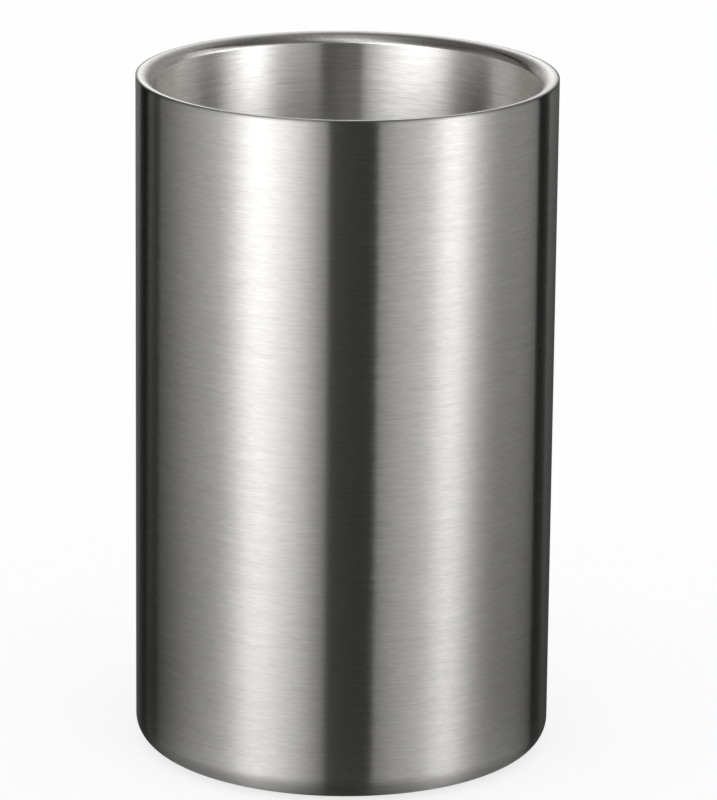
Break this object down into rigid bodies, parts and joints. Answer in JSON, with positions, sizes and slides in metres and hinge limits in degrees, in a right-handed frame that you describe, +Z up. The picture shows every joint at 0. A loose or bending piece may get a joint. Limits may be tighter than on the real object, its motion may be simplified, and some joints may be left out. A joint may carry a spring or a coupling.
{
  "type": "double-walled bottle cooler",
  "caption": "Free-standing double-walled cylinder in satin-brushed stainless steel that keeps a wine or champagne bottle cold, with a convex lip and a recessed base.",
  "frame": {"origin": "on the axis of the cylinder, at the level of the foot ring, which is the table", "axes": "+Z up along the axis of the cylinder; the object is round, so X and Y are free, and -Y faces the viewer"},
  "size_m": [0.12, 0.12, 0.197],
  "materials": {
    "jacket": "satin, brushed round the axis",
    "cup": "satin, brushed round the axis, with a cross-polished lip",
    "base": "mill finish with faint turning marks",
    "weld": "ground flush"
  },
  "bodies": {
    "root": {"outer_shell": "jacket", "inner_cup": "cup", "base_plate": "base", "rim_weld": "weld", "base_weld": "weld"}
  },
  "joints": []
}
